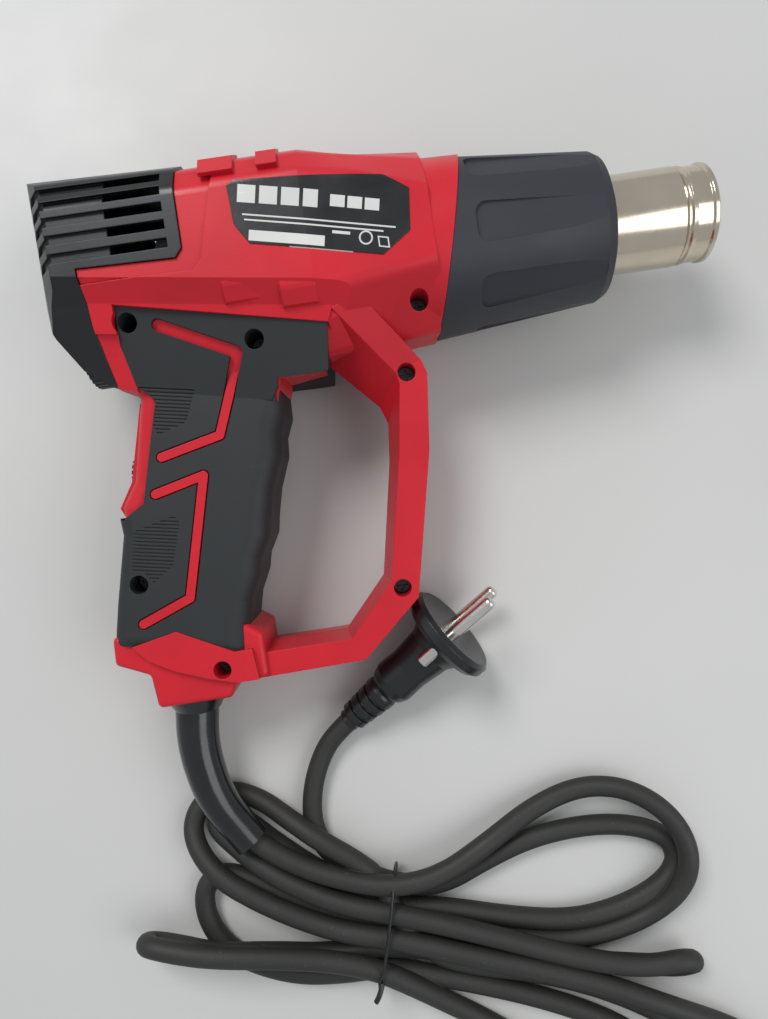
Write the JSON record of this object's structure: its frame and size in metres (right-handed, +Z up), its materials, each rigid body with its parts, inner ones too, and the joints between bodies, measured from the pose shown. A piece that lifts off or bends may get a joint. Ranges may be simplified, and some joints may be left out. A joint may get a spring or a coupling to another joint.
{
  "type": "heat gun",
  "caption": "Corded hot-air gun with a steel outlet, heat shield, louvred rear cap and D-shaped hand guard, lying on its side with its cord tied in a hank.",
  "frame": {"origin": "centre of the tool's footprint on the surface it lies on, without the cord", "axes": "+X along the barrel towards the outlet, +Y away from the handle, +Z up from the surface, out of the tool's left side"},
  "size_m": [0.255, 0.3682, 0.0708],
  "materials": {
    "red_casing": "satin moulded",
    "soft_grip": "soft matte",
    "black_cap": "satin moulded",
    "shroud": "fine matte",
    "nozzle_steel": "polished, warm tint",
    "steel": "plain",
    "ceramic": "unglazed",
    "screws": "black oxide",
    "mica": "laminated mica board",
    "heating_wire": "oxidised",
    "inner_plastic": "plain",
    "magnet": "sintered ferrite",
    "bronze": "plain",
    "carbon": "graphite",
    "circuit_board": "lacquered laminate",
    "aluminium_parts": "plain",
    "label": "printed film",
    "relief_plastic": "smooth",
    "cord_rubber": "matte",
    "tie_wire": "smooth",
    "plug_plastic": "satin moulded",
    "pin_metal": "nickel plated"
  },
  "bodies": {
    "tool": {"housing_left": "red_casing", "housing_right": "red_casing", "grip_left": "soft_grip", "grip_right": "soft_grip", "rear_cap": "black_cap", "front_shroud": "shroud", "nozzle": "nozzle_steel", "casing_screws": "screws", "rating_label": "label", "intake_screen": "steel", "heater_flange": "ceramic", "flange_screws": "screws", "heater_core": "mica", "heater_coil": "heating_wire", "thermocouple": "steel", "motor_can": "steel", "motor_endcap": "inner_plastic", "motor_magnets": "magnet", "motor_bearings": "bronze", "carbon_brushes": "carbon", "fan_guide": "inner_plastic", "potentiometer": "inner_plastic", "switch_body": "inner_plastic", "control_board": "circuit_board", "board_parts": "aluminium_parts", "terminal_block": "inner_plastic", "cord_clamp": "inner_plastic", "clamp_screws": "screws", "inner_cord": "cord_rubber", "strain_relief": "relief_plastic", "mains_cord_start": "cord_rubber", "cord_hank": "cord_rubber", "cord_tie": "tie_wire", "mains_cord_end": "cord_rubber", "plug_body": "plug_plastic", "plug_pins": "pin_metal"},
    "dial": {"temperature_dial": "black_cap", "dial_shaft": "inner_plastic"},
    "slider": {"switch_slider": "black_cap"},
    "rotor": {"rotor_shaft": "steel", "rotor_core": "steel", "commutator": "bronze", "impeller": "inner_plastic"}
  },
  "joints": [
    {"name": "dial_turn", "type": "hinge", "parent": "tool", "child": "dial", "pos_m": [-0.101, 0.03885, 0.03303], "axis": [1, 0, 0], "range_deg": [0, 270]},
    {"name": "switch_slide", "type": "slide", "parent": "tool", "child": "slider", "axis": [0.2419, 0.9639, 0.1115], "range_m": [0, 0.012]},
    {"name": "rotor_spin", "type": "hinge", "parent": "tool", "child": "rotor", "pos_m": [-0.04, 0.05325, 0.0347], "axis": [1, 0, 0], "continuous": true}
  ]
}
